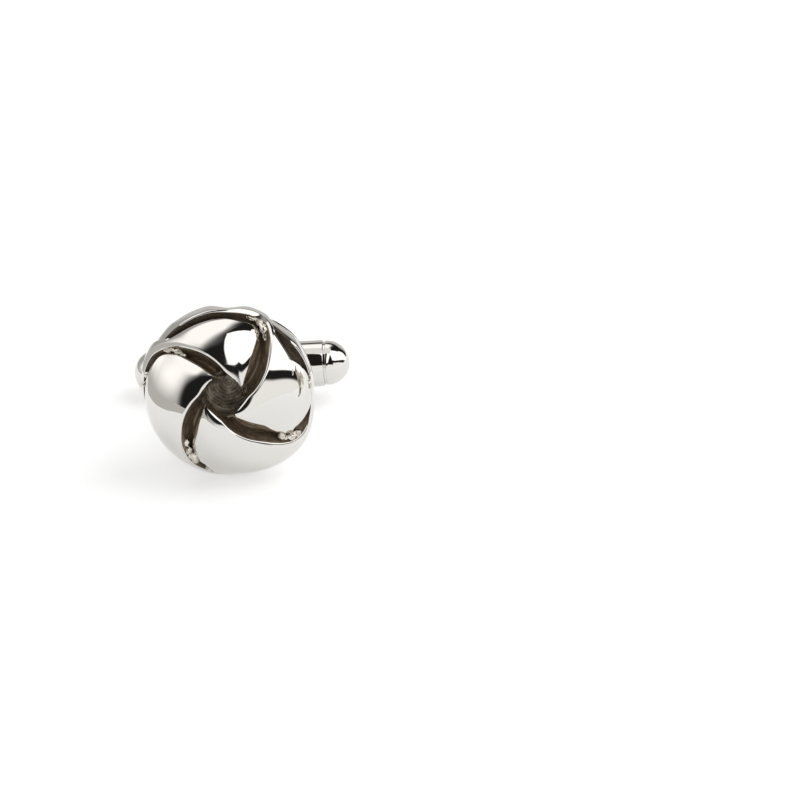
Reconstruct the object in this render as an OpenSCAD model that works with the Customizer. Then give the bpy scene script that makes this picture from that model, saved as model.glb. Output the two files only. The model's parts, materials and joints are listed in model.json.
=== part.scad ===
// Knot cufflink with a swivel bullet back, lying on a flat surface.
// Row frame: +X along the toggle, -Y towards the side that the knot faces, +Z up, floor at z = 0.
// The pieces are drawn in the cufflink's own frame: +Z out of the knot's face, the post along -Z,
// the toggle along X and the pivot pin along Y. lying() then sets the whole cufflink down.

/* [Knot] */
// Radius of the knot at its widest
knot_r = 8.05; // [6:0.05:11]
// Height of the knot's face above its widest circle
face_h = 5.2; // [3.5:0.1:7]
// Depth of the knot's back below its widest circle
back_h = 4.2; // [3.2:0.1:6]
// Depth of the grooves below the straps' rims
groove_depth = 1.9; // [1.2:0.1:2.4]
// Turn of the pinwheel about the post, in degrees
pinwheel_turn = -5.5; // [-45:1:45]
// Radius of the well in the middle of the face
well_r = 1.85; // [1.2:0.05:2]
// Depth of the well below the top of the face
well_depth = 3.1; // [2:0.1:4]

/* [Post] */
// Width of each leg of the forked post
leg_w = 2.4; // [2:0.1:3.2]
// Thickness of each leg
leg_t = 0.5; // [0.4:0.05:0.9]
// Radius of the post's round foot
foot_r = 3.3; // [3:0.1:4]
// Thickness of the foot
foot_t = 0.8; // [0.6:0.1:1.2]

/* [Toggle] */
// Length of the toggle over its domed ends
toggle_l = 20.9; // [16:0.1:23]
// Radius of the toggle
toggle_r = 2.25; // [1.9:0.05:2.6]
// Length of each domed cap outside the barrel
cap_l = 2.45; // [2.2:0.05:3.5]
// Radius of the pivot pin
pin_r = 0.6; // [0.4:0.05:0.8]

/* [Pose] */
// Slope of the post to the surface it lies on, in degrees
rest_tilt = 18.8; // [10:0.1:25]
// Roll of the cufflink onto the left end of its toggle, in degrees
rest_roll = 4.6; // [0:0.1:8]

/* [Hidden] */

// Number of straps folded into the knot
strap_count = 4;

// One row for each station along a groove, from the well outwards: the rim's angle from the knot's axis
// and about it, the width of the rolled band inside the rim, the same two angles of the strap's edge
// across the groove, and how far that edge drops below the domed outline.
RIM_PSI = 0;
RIM_THETA = 1;
BAND = 2;
EDGE_PSI = 3;
EDGE_THETA = 4;
DROP = 5;
inner_rows = [
    [13.5, 116, 0.16, 13.5, 172, 0],
    [14.5, 138, 0.16, 13.5, 186, 0],
    [15.5, 158, 0.16, 14, 199, 0],
    [18, 176.5, 0.16, 16, 209, 0.05],
    [23, 189.5, 0.16, 20.5, 216.5, 0.35],
    [29, 200.5, 0.17, 27.5, 222, 0.65],
    [36, 210, 0.20, 35.5, 227, 0.85],
    [44, 218.5, 0.26, 44, 231, 0.90],
    [53, 225.5, 0.34, 53, 234.5, 0.85]
];
// Where the groove turns at the strap's corner and runs round the knot's shoulder
turned_rows = [
    [62, 231.2, 0.42, 61, 238, 0.70],
    [72, 238.3, 0.50, 64.5, 243.5, 0.50],
    [80, 247.5, 0.64, 63, 250, 0.40],
    [81, 257, 0.60, 62.5, 258, 0.35],
    [78, 267, 0.36, 64, 267, 0.35],
    [76.5, 278, 0.20, 64.5, 277, 0.35],
    [75.5, 289, 0.16, 64.5, 288, 0.35],
    [73.5, 300, 0.16, 64.5, 299, 0.35],
    [71.5, 311, 0.16, 64.5, 309.5, 0.35],
    [70, 326, 0.16, 66.5, 320, 0.30]
];
// Where it runs over the shoulder to the back instead
over_rows = [
    [62, 232.5, 0.42, 60.5, 239, 0.70],
    [71, 239, 0.45, 66, 244, 0.50],
    [79, 246.5, 0.42, 68, 250.5, 0.35],
    [84, 255, 0.36, 71, 257.5, 0.30],
    [88, 264, 0.28, 76, 265, 0.30],
    [93, 275, 0.20, 83.5, 275, 0.30],
    [100, 286, 0.16, 92, 286, 0.30],
    [108, 294, 0.16, 101.5, 295.5, 0.30],
    [117, 300, 0.16, 112, 302.5, 0.30],
    [126, 305, 0.16, 121, 308, 0.30]
];
turned_groove = concat(inner_rows, turned_rows);
over_groove = concat(inner_rows, over_rows);
last_row = len(over_groove) - 1;
// Row beside which the next strap's pointed tip lies
tip_row = 3;
tip_start = 0.02;
strap_turn = 360 / strap_count;

// The grooves, folded by hand: turn from an even quarter, 1 where it turns at the corner, how far its
// outer rim and edge stand out from the table, the share of the table's band that it has, and where
// its edge closes on the rim: rows from which, by which, until which and to which it does, and how far.
LEAN = 0;
TURNED = 1;
RIM_OUT = 2;
EDGE_OUT = 3;
BAND_SHARE = 4;
PINCH_FROM = 5;
PINCH_BY = 6;
PINCH_UNTIL = 7;
PINCH_TO = 8;
PINCH = 9;
grooves = [
    [4.6, 0, 0, 0, 0.6, 11, 12.3, 18.5, 19, 12.5],
    [-0.6, 1, 4, -2.5, 0.6, 10.3, 12.9, 14.4, 15.3, 20],
    [2.8, 1, -4, 0, 0.6, 0, 1, 2, 3, 0],
    [-1.7, 0, 0, 0, 1, 0, 1, 2, 3, 0]
];
// Share of the edge's drop that is lost where it closes on the rim
pinch_lift = 0.6;
// Rows between which a groove's outer stretch stands out, and back in, and from which its lean passes
// into the next strap's
stand_out = [10, 12];
stand_in = [15, 18];
lean_row = 13;

// The strap's outer side once its groove has closed on its own rim, down the knot's shoulder: row of
// the rim that it lies beside, and its two angles. It ends under the next strap, or at its own point.
shoulder = [[9.4, 66.5, 230], [10, 72, 234], [10.6, 80, 238], [11.3, 100, 247], [12.2, 126, 256]];
shoulder_drop = 0.05;
close_row = shoulder[0][0];
over_close_row = 11.3;
shoulder_end = 352;
point_end = 302;

// Places where the straps stand out from an even dome, or in: angle about the axis and its reach,
// angle from the axis and its reach, and height. The last one is cut level with the floor, so the knot
// lies on a small flat.
ABOUT = 0;
ABOUT_REACH = 1;
AWAY = 2;
AWAY_REACH = 3;
HEIGHT = 4;
swells = [
    [316, 52, 74, 34, 0.62],
    [322, 30, 94, 26, 0.25],
    [150, 30, 88, 30, 0.25],
    [86, 15, 92, 30, -0.30],
    [266, 24, 100, 30, 0.12]
];
// The dish in the face round the well: its radius, and its depth at the middle if it went on there
dish_r = 4.8;
dish_depth = 1.2;

along_n = 42;
across_n = 8;
inner_depth = groove_depth + 0.4;
crown_power = 2.2;
// Slope of the rolled band inside the rim
band_slope = 0.7;
// How far a strap's end dips to pass under the next strap, and from which row
tuck_depth = 0.4;
tuck_row = 16.5;

// Beads of solder in the grooves at the straps' corners: groove, row, radius, and depth of the top
solder_beads = [
    [0, 9.2, 0.5, 0.5], [0, 10.3, 0.42, 0.4],
    [1, 9, 0.5, 0.5], [1, 9.9, 0.5, 0.4], [1, 14.8, 0.5, 0.15],
    [2, 8.8, 0.45, 0.6], [2, 9.9, 0.45, 0.5],
    [3, 8.5, 0.45, 0.6], [3, 9.4, 0.45, 0.5], [3, 13, 0.35, 0.3]
];
bead_half_l = 0.12;

// Flat round pad on the knot's back, and the hole in it for the post's spigot
back_pad_r = 6.1;
back_pad_z = -3.0;
back_chamfer = 0.4;
spigot_r = 1.2;
spigot_l = 1.2;
spigot_gap = 0.05;
seat_gap = 0.03;

// Clearance of the legs beside the toggle
leg_gap = 0.05;
// Reach of each leg past the pin, and radius of its rounded end
leg_reach = 1.0;
leg_end_r = 1.6;
// Clearance of the toggle's dome past the foot when it is swung in line, and of the pin in its hole
tip_gap = 0.45;
run_gap = 0.05;
rivet_gap = 0.02;
foot_z = back_pad_z - seat_gap - foot_t;
pivot_z = foot_z - tip_gap - toggle_l / 2;
leg_inner_y = toggle_r + leg_gap;
leg_outer_y = leg_inner_y + leg_t;

barrel_l = toggle_l - 2 * cap_l;
barrel_wall = 0.6;
cap_spigot_l = 1.6;
// Length and depth of the ring groove behind each dome, and the dome's radius
groove_l = 0.18;
groove_cut = 0.16;
dome_r = toggle_r - 0.08;

// Facets round a bore or shaft, round the knot, and round a bead
fine = 96;
coarse = 48;
bead_fn = 10;

// Height of the knot's centre that sets its edge on the surface, and its place in front of the origin
facet_sag = 0.014;
rest_z = sqrt(pow(knot_r * cos(rest_tilt), 2) + pow(back_h * sin(rest_tilt), 2)) - facet_sag;
rest_y = 5.43;

// Catmull-Rom value of a table's columns between its rows b and c
function spline(a, b, c, d, f) =
    b + 0.5 * f * (c - a + f * (2 * a - 5 * b + 4 * c - d + f * (3 * (b - c) + d - a)));

// 0 before start, 1 after end, and a straight climb between
function rise(x, start, end) = max(0, min(1, (x - start) / (end - start)));

// A hump over -1 to 1
function hump(x) = abs(x) < 1 ? pow(cos(90 * x), 2) : 0;
function turned_by(a) = let (d = (a % 360 + 360) % 360) d > 180 ? d - 360 : d;
function total(v, i = 0) = i < len(v) ? v[i] + total(v, i + 1) : 0;

// How far the surface stands out from an even dome
function swell(psi, theta) =
    total([for (s = swells)
        s[HEIGHT] * hump(turned_by(theta - s[ABOUT]) / s[ABOUT_REACH])
            * hump((psi - s[AWAY]) / s[AWAY_REACH])])
    - dish_depth * pow(max(0, 1 - knot_r * sin(psi) / dish_r), 2);

// A point at a depth below the knot's outline, by its two angles
function dome_h(psi) = psi < 90 ? face_h : back_h;
function dome_point(psi, theta, depth) =
    let (d = depth - swell(psi, theta), across = (knot_r - d) * sin(psi))
    [across * cos(theta), across * sin(theta), (dome_h(psi) - d) * cos(psi)];

// Length on the dome of one degree of each angle
function psi_step(psi) = norm([knot_r * cos(psi), dome_h(psi) * sin(psi)]) * PI / 180;
function theta_step(psi) = knot_r * sin(psi) * PI / 180;

function quarter(k) = pinwheel_turn + k * strap_turn;
function own(k) = grooves[(k + strap_count) % strap_count];

// The numbers of groove k at row u, with its angles turned to its place
function groove_row(k, u) =
    let (
        rows = own(k)[TURNED] == 1 ? turned_groove : over_groove,
        i = min(floor(u), last_row - 1),
        q = spline(rows[max(0, i - 1)], rows[i], rows[i + 1], rows[min(last_row, i + 2)], u - i),
        out = rise(u, stand_out[0], stand_out[1]) * (1 - rise(u, stand_in[0], stand_in[1])),
        passed = own(k)[TURNED] * rise(u, lean_row, last_row),
        turn = quarter(k) + own(k)[LEAN] + (own(k + 1)[LEAN] - own(k)[LEAN]) * passed,
        closing = rise(u, own(k)[PINCH_FROM], own(k)[PINCH_BY])
            * (1 - rise(u, own(k)[PINCH_UNTIL], own(k)[PINCH_TO])),
        pinch = own(k)[PINCH] * closing,
        lift = pinch > 0 ? pinch_lift * closing : 0
    )
    [
        q[RIM_PSI] + own(k)[RIM_OUT] * out, q[RIM_THETA] + turn, q[BAND] * own(k)[BAND_SHARE],
        q[EDGE_PSI] + own(k)[EDGE_OUT] * out + pinch, q[EDGE_THETA] + turn, q[DROP] * (1 - lift)
    ];

// The angles at a distance inside the rim of groove k, at row u
function beside(k, u, distance) =
    let (
        e = 0.05,
        here = groove_row(k, u),
        step = [psi_step(here[RIM_PSI]), theta_step(here[RIM_PSI])],
        d = groove_row(k, min(u + e, last_row)) - groove_row(k, max(u - e, 0)),
        along = [d[RIM_PSI] * step[0], d[RIM_THETA] * step[1]],
        across = [-along[1], along[0]] * distance / norm(along)
    )
    [here[RIM_PSI] + across[0] / step[0], here[RIM_THETA] + across[1] / step[1]];

// A point on a run of stations, each a row and two angles
function along_run(run, u, i = 0) =
    i < len(run) - 2 && u > run[i + 1][0]
        ? along_run(run, u, i + 1)
        : run[i] + (run[i + 1] - run[i]) * (u - run[i][0]) / (run[i + 1][0] - run[i][0]);

// The side of strap k away from its rim, beside row u of the rim, as angles and drop
function outer_side(k, u) =
    let (
        before_turned = own(k - 1)[TURNED] == 1,
        turned = own(k)[TURNED] == 1,
        closing = before_turned ? close_row : turned ? over_close_row : last_row,
        edge = groove_row(k - 1, tip_row + (last_row - tip_row) * min(1, u / closing)),
        turn = quarter(k) + own(k)[LEAN],
        end = turned ? shoulder_end : point_end,
        run = before_turned
            ? concat(shoulder, [[last_row, shoulder[len(shoulder) - 1][1], end]])
            : [[closing, edge[EDGE_PSI], edge[EDGE_THETA] - turn], [last_row, edge[EDGE_PSI], end]],
        place = along_run(run, u)
    )
    u <= closing
        ? [edge[EDGE_PSI], edge[EDGE_THETA], edge[DROP]]
        : [place[1], place[2] + turn, shoulder_drop];

// One cross-section of strap k, from its outer side over its crown to the rolled band inside its rim
function strap_section(k, i, depth) =
    let (
        u = (tip_start + (1 - tip_start) * i / along_n) * last_row,
        near = groove_row(k, u),
        far = outer_side(k, u),
        inside = beside(k, u, near[BAND]),
        tuck = own(k)[TURNED] * tuck_depth * rise(u, tuck_row, last_row)
    )
    [
        for (v = [0:1 / across_n:1 + 0.5 / across_n])
            dome_point(
                far[0] + (near[RIM_PSI] - far[0]) * v,
                far[1] + (near[RIM_THETA] - far[1]) * v,
                is_undef(depth) ? far[2] * pow(max(0, 1 - v), crown_power) + tuck : depth
            ),
        dome_point(inside[0], inside[1], is_undef(depth) ? near[BAND] * band_slope + tuck : depth)
    ];

module strap(k) {
    last = across_n + 1;
    ring = last + 1;
    side = (along_n + 1) * ring;
    outer = [for (i = [0:along_n]) each strap_section(k, i)];
    inner = [for (i = [0:along_n]) each strap_section(k, i, inner_depth)];
    function quad(a, b, c, d) = [[a, b, c], [a, c, d]];
    function at(i, j, s) = s * side + i * ring + j;
    faces = concat(
        [for (i = [0:along_n - 1]) for (j = [0:last - 1])
            each quad(at(i, j, 0), at(i, j + 1, 0), at(i + 1, j + 1, 0), at(i + 1, j, 0))],
        [for (i = [0:along_n - 1]) for (j = [0:last - 1])
            each quad(at(i, j, 1), at(i + 1, j, 1), at(i + 1, j + 1, 1), at(i, j + 1, 1))],
        [for (i = [0:along_n - 1])
            each quad(at(i, 0, 0), at(i + 1, 0, 0), at(i + 1, 0, 1), at(i, 0, 1))],
        [for (i = [0:along_n - 1])
            each quad(at(i, last, 0), at(i, last, 1), at(i + 1, last, 1), at(i + 1, last, 0))],
        [for (j = [0:last - 1])
            each quad(at(0, j, 0), at(0, j, 1), at(0, j + 1, 1), at(0, j + 1, 0))],
        [for (j = [0:last - 1])
            each quad(at(along_n, j, 0), at(along_n, j + 1, 0), at(along_n, j + 1, 1), at(along_n, j, 1))]
    );
    polyhedron(points = concat(outer, inner), faces = faces, convexity = 6);
}

// A point in the middle of groove k at row u, at a depth below its edges
function groove_middle(k, u, depth) =
    let (g = groove_row(k, u), inside = beside(k, u, g[BAND]))
    dome_point((inside[0] + g[EDGE_PSI]) / 2, (inside[1] + g[EDGE_THETA]) / 2, g[DROP] / 2 + depth);

// A bead of solder wedged in groove k
module solder(k, u, r, sink) {
    hull() for (side = [-1, 1])
        translate(groove_middle(k, u + side * bead_half_l, r + sink)) sphere(r, $fn = bead_fn);
}

// The inside of the knot, below the grooves
module knot_core() {
    core_r = knot_r - groove_depth;
    angles = [for (a = [0:5:180]) a];
    rotate_extrude($fn = coarse)
        polygon([for (a = angles) [core_r * sin(a), (dome_h(a) - groove_depth) * cos(a)]]);
    translate([0, 0, back_pad_z + back_chamfer])
        cylinder(h = -back_pad_z - back_chamfer, r = back_pad_r, $fn = coarse);
    translate([0, 0, back_pad_z])
        cylinder(h = back_chamfer, r1 = back_pad_r - back_chamfer, r2 = back_pad_r, $fn = coarse);
}

// The block below the surface on which the cufflink lies
module below_floor() {
    translate([-knot_r, -rest_y - knot_r, -knot_r]) cube([2 * knot_r, 2 * knot_r, knot_r]);
}

module knot() {
    color("gainsboro") difference() {
        lying() difference() {
            union() {
                knot_core();
                for (k = [0:strap_count - 1]) strap(k);
                for (b = solder_beads) solder(b[0], b[1], b[2], b[3]);
            }
            translate([0, 0, face_h - well_depth])
                cylinder(h = well_depth + 1, r = well_r, $fn = coarse);
            translate([0, 0, back_pad_z - 1])
                cylinder(h = 1 + spigot_l + seat_gap, r = spigot_r + spigot_gap, $fn = coarse);
        }
        below_floor();
    }
}

module leg() {
    difference() {
        intersection() {
            translate([-leg_w / 2, leg_inner_y, pivot_z - leg_reach])
                cube([leg_w, leg_t, foot_z - pivot_z + foot_t / 2 + leg_reach]);
            union() {
                translate([-leg_w / 2, leg_inner_y, pivot_z])
                    cube([leg_w, leg_t, foot_z - pivot_z + foot_t]);
                translate([0, leg_outer_y, pivot_z - leg_reach + leg_end_r]) rotate([90, 0, 0])
                    cylinder(h = leg_t, r = leg_end_r, $fn = fine);
            }
        }
        translate([0, leg_outer_y + 1, pivot_z]) rotate([90, 0, 0])
            cylinder(h = leg_t + 2, r = pin_r + rivet_gap, $fn = fine);
    }
}

module post() {
    color("silver") lying() {
        translate([0, 0, foot_z]) cylinder(h = foot_t, r = foot_r, $fn = fine);
        translate([0, 0, foot_z + foot_t / 2])
            cylinder(h = foot_t / 2 + spigot_l, r = spigot_r, $fn = fine);
        leg();
        mirror([0, 1, 0]) leg();
    }
}

module pivot_pin() {
    color("darkgray") lying() translate([0, leg_outer_y, pivot_z]) rotate([90, 0, 0])
        cylinder(h = 2 * leg_outer_y, r = pin_r, $fn = fine);
}

module toggle_barrel() {
    color("gainsboro") lying() translate([0, 0, pivot_z]) difference() {
        rotate([0, 90, 0]) difference() {
            cylinder(h = barrel_l, r = toggle_r, center = true, $fn = fine);
            cylinder(h = barrel_l + 1, r = toggle_r - barrel_wall, center = true, $fn = fine);
        }
        rotate([90, 0, 0]) cylinder(h = 3 * toggle_r, r = pin_r + run_gap, center = true, $fn = fine);
    }
}

// A domed plug for the barrel's right end, with a ring groove behind its dome
module toggle_cap() {
    x0 = barrel_l / 2 + seat_gap / 2;
    shoulder = cap_l - seat_gap / 2 - dome_r;
    translate([0, 0, pivot_z]) {
        translate([x0 - cap_spigot_l, 0, 0]) rotate([0, 90, 0])
            cylinder(h = cap_spigot_l + groove_l, r = toggle_r - barrel_wall - seat_gap, $fn = fine);
        translate([x0, 0, 0]) rotate([0, 90, 0])
            cylinder(h = groove_l, r = toggle_r - groove_cut, $fn = fine);
        translate([x0 + groove_l, 0, 0]) rotate([0, 90, 0])
            cylinder(h = shoulder - groove_l, r = dome_r, $fn = fine);
        translate([x0 + shoulder, 0, 0]) intersection() {
            sphere(dome_r, $fn = fine);
            translate([0, -dome_r, -dome_r]) cube([dome_r, 2 * dome_r, 2 * dome_r]);
        }
    }
}

module toggle_cap_left() {
    color("gainsboro") lying() mirror([1, 0, 0]) toggle_cap();
}

module toggle_cap_right() {
    color("gainsboro") lying() toggle_cap();
}

// Lays the cufflink on the surface, where the knot's edge and the lower leg's end touch it
module lying() {
    translate([0, -rest_y, rest_z]) rotate([90 - rest_tilt, 0, 0]) rotate([0, 0, rest_roll]) children();
}

knot();
post();
pivot_pin();
toggle_barrel();
toggle_cap_left();
toggle_cap_right();
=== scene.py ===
"""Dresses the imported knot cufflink: polished straps, dark grooves, solder, well, post, pin and toggle.

Sizes are in metres. The pieces are drawn in the cufflink's own frame, with +Z out of the knot's face,
the toggle along X and the pin along Y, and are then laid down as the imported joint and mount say.
"""

import json
import math

import bmesh
import bpy
from mathutils import Matrix, Vector, noise


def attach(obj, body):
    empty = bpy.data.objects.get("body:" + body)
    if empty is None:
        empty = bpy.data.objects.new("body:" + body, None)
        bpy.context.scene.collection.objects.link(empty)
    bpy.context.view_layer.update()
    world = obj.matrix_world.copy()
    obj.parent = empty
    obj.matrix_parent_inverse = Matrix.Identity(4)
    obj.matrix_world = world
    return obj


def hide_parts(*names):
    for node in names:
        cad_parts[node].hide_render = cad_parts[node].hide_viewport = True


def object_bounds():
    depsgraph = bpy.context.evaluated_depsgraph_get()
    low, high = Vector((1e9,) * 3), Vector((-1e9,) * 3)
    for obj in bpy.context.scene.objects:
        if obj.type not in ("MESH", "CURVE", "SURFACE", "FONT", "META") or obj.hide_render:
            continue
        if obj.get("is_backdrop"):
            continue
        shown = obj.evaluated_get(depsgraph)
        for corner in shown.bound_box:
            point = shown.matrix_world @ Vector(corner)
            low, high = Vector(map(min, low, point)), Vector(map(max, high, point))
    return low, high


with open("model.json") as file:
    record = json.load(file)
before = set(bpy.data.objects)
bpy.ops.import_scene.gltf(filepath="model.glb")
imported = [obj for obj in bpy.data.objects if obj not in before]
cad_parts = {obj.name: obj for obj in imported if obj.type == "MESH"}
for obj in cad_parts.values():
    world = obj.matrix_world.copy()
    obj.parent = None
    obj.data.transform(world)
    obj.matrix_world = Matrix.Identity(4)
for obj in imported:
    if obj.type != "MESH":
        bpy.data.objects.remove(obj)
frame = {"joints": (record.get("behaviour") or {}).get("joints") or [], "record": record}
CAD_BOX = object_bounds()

bl_info = {
    "name": "Knot Cufflink",
    "version": (1, 0, 0),
    "blender": (4, 5, 0),
    "location": "3D View > Sidebar > Cufflink",
    "description": "Builds a polished knot cufflink with a swivel toggle on a pale studio floor",
    "category": "Object",
}

MM = 0.001

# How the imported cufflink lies: the pin's axis, the way the post runs, and the pivot
SWIVEL = frame["joints"][0]
CUFF_POST = next(m for m in frame["record"]["mounts"] if m["name"] == "cuff_post")
PIVOT = Vector(SWIVEL["pos_m"])
OUT = -Vector(CUFF_POST["axis"]).normalized()
ACROSS = (Vector(SWIVEL["axis"]) - OUT * OUT.dot(Vector(SWIVEL["axis"]))).normalized()
ALONG = ACROSS.cross(OUT)
PIVOT_DEPTH = 14.73 * MM
LYING = (Matrix.Translation(PIVOT + OUT * PIVOT_DEPTH)
         @ Matrix((ALONG, ACROSS, OUT)).transposed().to_4x4())

# One row for each station along a groove, from the well outwards, in degrees and millimetres: the rim's
# angle from the knot's axis and about it, the width of the rolled band inside the rim, the same two
# angles of the strap's edge across the groove, and how far that edge drops below the domed outline
INNER_ROWS = (
    (13.5, 116, 0.16, 13.5, 172, 0),
    (14.5, 138, 0.16, 13.5, 186, 0),
    (15.5, 158, 0.16, 14, 199, 0),
    (18, 176.5, 0.16, 16, 209, 0.05),
    (23, 189.5, 0.16, 20.5, 216.5, 0.35),
    (29, 200.5, 0.17, 27.5, 222, 0.65),
    (36, 210, 0.2, 35.5, 227, 0.85),
    (44, 218.5, 0.26, 44, 231, 0.9),
    (53, 225.5, 0.34, 53, 234.5, 0.85),
)
# Where the groove turns at the strap's corner and runs round the knot's shoulder
TURNED_ROWS = (
    (62, 231.2, 0.42, 61, 238, 0.7),
    (72, 238.3, 0.5, 64.5, 243.5, 0.5),
    (80, 247.5, 0.64, 63, 250, 0.4),
    (81, 257, 0.6, 62.5, 258, 0.35),
    (78, 267, 0.36, 64, 267, 0.35),
    (76.5, 278, 0.2, 64.5, 277, 0.35),
    (75.5, 289, 0.16, 64.5, 288, 0.35),
    (73.5, 300, 0.16, 64.5, 299, 0.35),
    (71.5, 311, 0.16, 64.5, 309.5, 0.35),
    (70, 326, 0.16, 66.5, 320, 0.3),
)
# Where it runs over the shoulder to the back instead
OVER_ROWS = (
    (62, 232.5, 0.42, 60.5, 239, 0.7),
    (71, 239, 0.45, 66, 244, 0.5),
    (79, 246.5, 0.42, 68, 250.5, 0.35),
    (84, 255, 0.36, 71, 257.5, 0.3),
    (88, 264, 0.28, 76, 265, 0.3),
    (93, 275, 0.2, 83.5, 275, 0.3),
    (100, 286, 0.16, 92, 286, 0.3),
    (108, 294, 0.16, 101.5, 295.5, 0.3),
    (117, 300, 0.16, 112, 302.5, 0.3),
    (126, 305, 0.16, 121, 308, 0.3),
)
LAST_ROW = len(INNER_ROWS) + len(OVER_ROWS) - 1
# Row beside which the next strap's pointed tip lies
TIP_ROW = 3
STRAPS = 4
STRAP_TURN = 360 / STRAPS
# The strap's outer side once its groove has closed on its own rim, down the knot's shoulder: row of the
# rim that it lies beside, and its two angles
SHOULDER = (
    (9.4, 66.5, 230),
    (10, 72, 234),
    (10.6, 80, 238),
    (11.3, 100, 247),
    (12.2, 126, 256),
)
SHOULDER_DROP = 0.05
CLOSE_ROW = SHOULDER[0][0]
OVER_CLOSE_ROW = 11.3
# Angle about the axis where the outer side ends: under the next strap, or at the strap's own point
SHOULDER_END = 352.0
POINT_END = 302.0

# The four grooves, folded by hand: turn from an even quarter, whether it turns at the corner, how far its
# outer rim and edge stand out from the table, in degrees, the share of the table's band that it has, how
# much deeper than the table, in millimetres, its edge lies between the well and the corner, and where the
# edge closes on the rim: rows from which, by which, until which and to which it does, and how far
GROOVES = (
    {"lean": 4.6, "turned": False, "rim_out": 0, "edge_out": 0, "band": 0.6, "fall": 0,
     "pinch": (11, 12.3, 18.5, 19, 12.5)},
    {"lean": -0.6, "turned": True, "rim_out": 4, "edge_out": -2.5, "band": 0.6, "fall": 0,
     "pinch": (10.3, 12.9, 14.2, 15, 20)},
    {"lean": 2.8, "turned": True, "rim_out": -4, "edge_out": 0, "band": 0.6, "fall": 0.25,
     "pinch": (0, 1, 2, 3, 0)},
    {"lean": -1.7, "turned": False, "rim_out": 0, "edge_out": 0, "band": 1, "fall": 0,
     "pinch": (0, 1, 2, 3, 0)},
)
# Share of the edge's drop that is lost where it closes on the rim
PINCH_LIFT = 0.6
# Each strap's crown: share of its width, from its outer side, where it starts to fall, and the fall's power
CROWNS = ((1.0, 2.2), (1.0, 2.2), (1.0, 2.2), (0.85, 1.7))
# Rows between which a deeper edge sets in, and ends, and how far it moves out to look as wide
FALL_ROWS = (1, 5, 10, 13)
FALL_SPREAD = 14.0 / 60 ** 2

# Places where the folded straps stand out from an even dome, or in: angle about the axis and its reach,
# angle from the axis and its reach, all in degrees, and height in millimetres
SWELLS = (
    (316, 52, 74, 34, 0.62),
    (322, 30, 94, 26, 0.25),
    (150, 30, 88, 30, 0.25),
    (86, 15, 92, 30, -0.3),
)
# The face is dished round the well: radius that it reaches, and depth at the middle if it went on there
DISH_R = 4.8 * MM
DISH_DEPTH = 1.2 * MM


def srgb(hex_colour):
    """Linear RGBA of an sRGB hex colour such as "C8C4BE"."""
    channels = [int(hex_colour[i:i + 2], 16) / 255 for i in (0, 2, 4)]
    return tuple(c / 12.92 if c <= 0.04045 else ((c + 0.055) / 1.055) ** 2.4 for c in channels) + (1.0,)


WHITE = srgb("FFFFFF")


def length(name, description, default):
    """A property that holds a length."""
    return bpy.props.FloatProperty(
        name=name, description=description, default=default, unit="LENGTH", precision=5)


def metal_colour(name, description, hex_colour):
    """A property that holds a colour."""
    return bpy.props.FloatVectorProperty(
        name=name, description=description, default=srgb(hex_colour), size=4, min=0.0, max=1.0,
        subtype="COLOR")


class CufflinkSizes(bpy.types.PropertyGroup):
    """Sizes of the cufflink's pieces"""

    knot_r: length("Knot radius", "Radius of the knot at its widest", 8.05 * MM)
    face_h: length("Face height", "Height of the knot's face above its widest circle", 5.2 * MM)
    back_h: length("Back depth", "Depth of the knot's back below its widest circle", 4.2 * MM)
    groove_depth: length("Groove depth", "Depth of the grooves below the straps' rims", 1.7 * MM)
    knot_turn: bpy.props.FloatProperty(
        name="Knot turn", description="Turn of the pinwheel of straps about the post",
        default=math.radians(-5.5), subtype="ANGLE")
    well_r: length("Well radius", "Radius of the well in the middle of the face", 1.85 * MM)
    well_depth: length("Well depth", "Depth of the well below the top of the face", 3.1 * MM)
    toggle_l: length("Toggle length", "Length of the toggle over its domed ends", 20.9 * MM)
    toggle_r: length("Toggle radius", "Radius of the toggle's barrel", 2.25 * MM)
    cap_l: length("Cap length", "Length of each domed cap outside the barrel", 2.45 * MM)
    leg_w: length("Leg width", "Width of each leg of the forked post", 2.4 * MM)
    leg_t: length("Leg thickness", "Thickness of each leg of the forked post", 0.5 * MM)
    foot_r: length("Foot radius", "Radius of the post's round foot", 3.3 * MM)
    pin_r: length("Pin radius", "Radius of the pivot pin", 0.6 * MM)


class CufflinkFinish(bpy.types.PropertyGroup):
    """Finishes of the cufflink's metal"""

    plate_colour: metal_colour("Plate colour", "Colour of the polished straps and toggle", "DBD9D5")
    back_colour: metal_colour("Back colour", "Colour of the satin pad at the knot's back", "C9C6C0")
    post_colour: metal_colour("Post colour", "Colour of the forked post", "CFCCC7")
    pin_colour: metal_colour("Pin colour", "Colour of the pivot pin", "B9B5AE")
    plate_roughness: bpy.props.FloatProperty(
        name="Plate roughness", description="Roughness of the mirror-polished plate",
        default=0.04, min=0.0, max=1.0)
    groove_roughness: bpy.props.FloatProperty(
        name="Groove roughness", description="Roughness of the dark, unpolished metal in the grooves",
        default=0.42, min=0.0, max=1.0)


def feed(node, **links):
    """Links outputs to a node's sockets: i0 is its first input, and other names have _ for a space."""
    for name, output in links.items():
        key = int(name[1:]) if name[0] == "i" and name[1:].isdigit() else name.replace("_", " ")
        node.id_data.links.new(output, node.inputs[key])


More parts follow.
